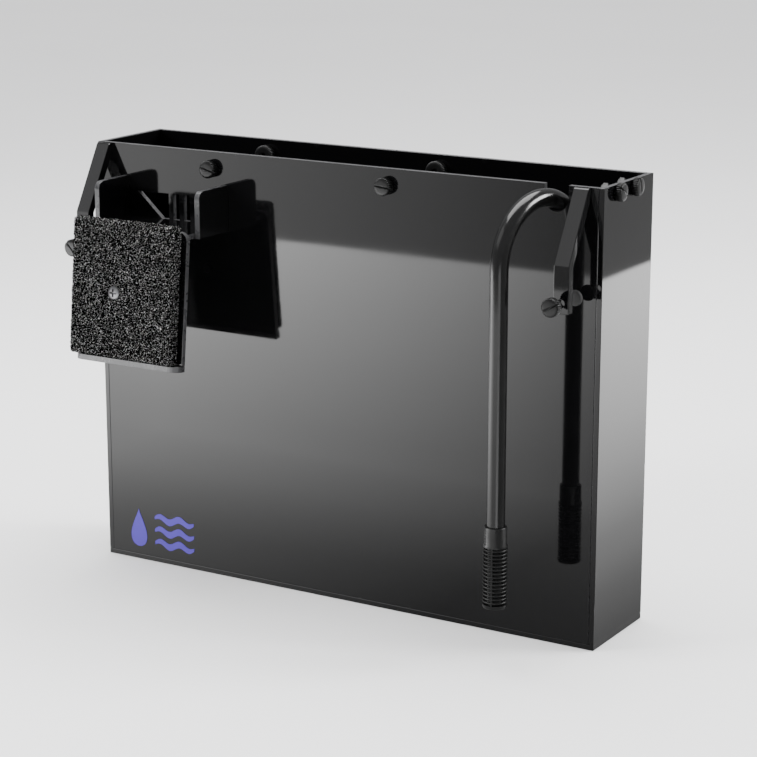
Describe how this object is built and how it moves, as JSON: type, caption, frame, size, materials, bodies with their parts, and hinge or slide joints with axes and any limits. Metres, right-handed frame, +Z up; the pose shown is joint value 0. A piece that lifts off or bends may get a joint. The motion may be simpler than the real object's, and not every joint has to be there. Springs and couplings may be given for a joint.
{
  "type": "hang-on-tank power filter",
  "caption": "Flat gloss black acrylic filter box that clamps onto an aquarium's glass, with an intake tube and strainer, a barred outlet chute and a foam-faced diffuser.",
  "frame": {"origin": "centre of the base's underside, on the middle of the box's footprint", "axes": "+X to the right seen from the tank, -Y from the front panel into the tank, +Z up"},
  "size_m": [0.5316, 0.1906, 0.4079],
  "materials": {
    "acrylic": "polished gloss black, edges flame polished",
    "nylon": "satin black moulded nylon",
    "pvc": "semi-gloss black tube",
    "foam": "open-cell charcoal foam",
    "rubber": "soft matt black",
    "steel": "stainless",
    "ceramic": "porous off-white ceramic",
    "magnet": "coated dark grey magnet",
    "plastic": "satin dark moulded plastic",
    "hose": "soft satin dark grey"
  },
  "bodies": {
    "filter_box": {"back_panel": "acrylic", "base_panel": "acrylic", "diffuser_plate": "acrylic", "diffuser_shelf": "acrylic", "foam_pad": "foam", "foam_screw": "steel", "foam_screw_nut": "steel", "front_panel": "acrylic", "front_wall_nut": "nylon", "inlet_baffle": "acrylic", "left_hanger_strap": "acrylic", "left_side_panel": "acrylic", "left_tie_boss": "nylon", "lower_shaft_bush": "rubber", "outlet_baffle": "acrylic", "outlet_chute_floor": "acrylic", "outlet_left_cheek": "acrylic", "outlet_right_cheek": "acrylic", "pump_cable_gland": "rubber", "pump_housing": "plastic", "pump_impeller_cover": "plastic", "pump_shaft": "ceramic", "pump_suction_foot_1": "rubber", "pump_suction_foot_2": "rubber", "pump_suction_foot_3": "rubber", "pump_suction_foot_4": "rubber", "rear_wall_nut": "nylon", "right_hanger_strap": "acrylic", "right_side_panel": "acrylic", "right_tie_boss": "nylon", "suction_hose": "hose", "tube_bracket": "acrylic", "upper_shaft_bush": "rubber"},
    "left_tie_screw": {"left_tie_screw": "nylon"},
    "right_tie_screw": {"right_tie_screw": "nylon"},
    "front_wall_screw": {"front_wall_screw": "nylon"},
    "rear_wall_screw": {"rear_wall_screw": "nylon"},
    "left_clamp_pad": {"left_clamp_pad": "rubber"},
    "right_clamp_pad": {"right_clamp_pad": "rubber"},
    "left_clamp_screw": {"left_clamp_screw": "nylon"},
    "right_clamp_screw": {"right_clamp_screw": "nylon"},
    "intake_tube": {"intake_tube": "pvc"},
    "strainer": {"strainer": "nylon"},
    "media_basket": {"media_basket": "plastic", "ceramic_media": "ceramic"},
    "filter_sponge": {"filter_sponge": "foam"},
    "pump_impeller": {"pump_impeller": "magnet"}
  },
  "joints": [
    {"name": "left_tie_screw_turn", "type": "hinge", "parent": "filter_box", "child": "left_tie_screw", "pos_m": [-0.1333, -0.04875, 0.3904], "axis": [0, 1, 0], "continuous": true},
    {"name": "right_tie_screw_turn", "type": "hinge", "parent": "filter_box", "child": "right_tie_screw", "pos_m": [0.0526, -0.04875, 0.3904], "axis": [0, 1, 0], "continuous": true},
    {"name": "front_wall_screw_turn", "type": "hinge", "parent": "filter_box", "child": "front_wall_screw", "pos_m": [0.2625, -0.0225, 0.3998], "axis": [-1, 0, 0], "continuous": true},
    {"name": "rear_wall_screw_turn", "type": "hinge", "parent": "filter_box", "child": "rear_wall_screw", "pos_m": [0.2625, 0.01, 0.3998], "axis": [-1, 0, 0], "continuous": true},
    {"name": "left_clamp_slide", "type": "slide", "parent": "filter_box", "child": "left_clamp_pad", "axis": [0, 1, 0], "range_m": [-0.0125, 0.0095]},
    {"name": "left_clamp_screw_turn", "type": "hinge", "parent": "left_clamp_pad", "child": "left_clamp_screw", "pos_m": [-0.253, -0.06875, 0.314], "axis": [0, 1, 0], "range_deg": [-3400, 2600]},
    {"name": "right_clamp_slide", "type": "slide", "parent": "filter_box", "child": "right_clamp_pad", "axis": [0, 1, 0], "range_m": [-0.0125, 0.0095]},
    {"name": "right_clamp_screw_turn", "type": "hinge", "parent": "right_clamp_pad", "child": "right_clamp_screw", "pos_m": [0.2435, -0.06875, 0.314], "axis": [0, 1, 0], "range_deg": [-3400, 2600]},
    {"name": "intake_tube_lift", "type": "slide", "parent": "filter_box", "child": "intake_tube", "axis": [0, 0, 1], "range_m": [0, 0.06]},
    {"name": "strainer_pull", "type": "slide", "parent": "intake_tube", "child": "strainer", "axis": [0, 0, -1], "range_m": [0, 0.02]},
    {"name": "media_basket_lift", "type": "slide", "parent": "filter_box", "child": "media_basket", "axis": [0, 0, 1], "range_m": [0, 0.3]},
    {"name": "filter_sponge_lift", "type": "slide", "parent": "filter_box", "child": "filter_sponge", "axis": [0, 0, 1], "range_m": [0, 0.3]},
    {"name": "impeller_spin", "type": "hinge", "parent": "filter_box", "child": "pump_impeller", "pos_m": [0.205, 0, 0.06], "axis": [0, 0, 1], "continuous": true}
  ],
  "couplings": [
    {"joint": "left_clamp_slide", "follows": "left_clamp_screw_turn", "m_per_rad": 0.00020213},
    {"joint": "right_clamp_slide", "follows": "right_clamp_screw_turn", "m_per_rad": 0.00020213}
  ]
}
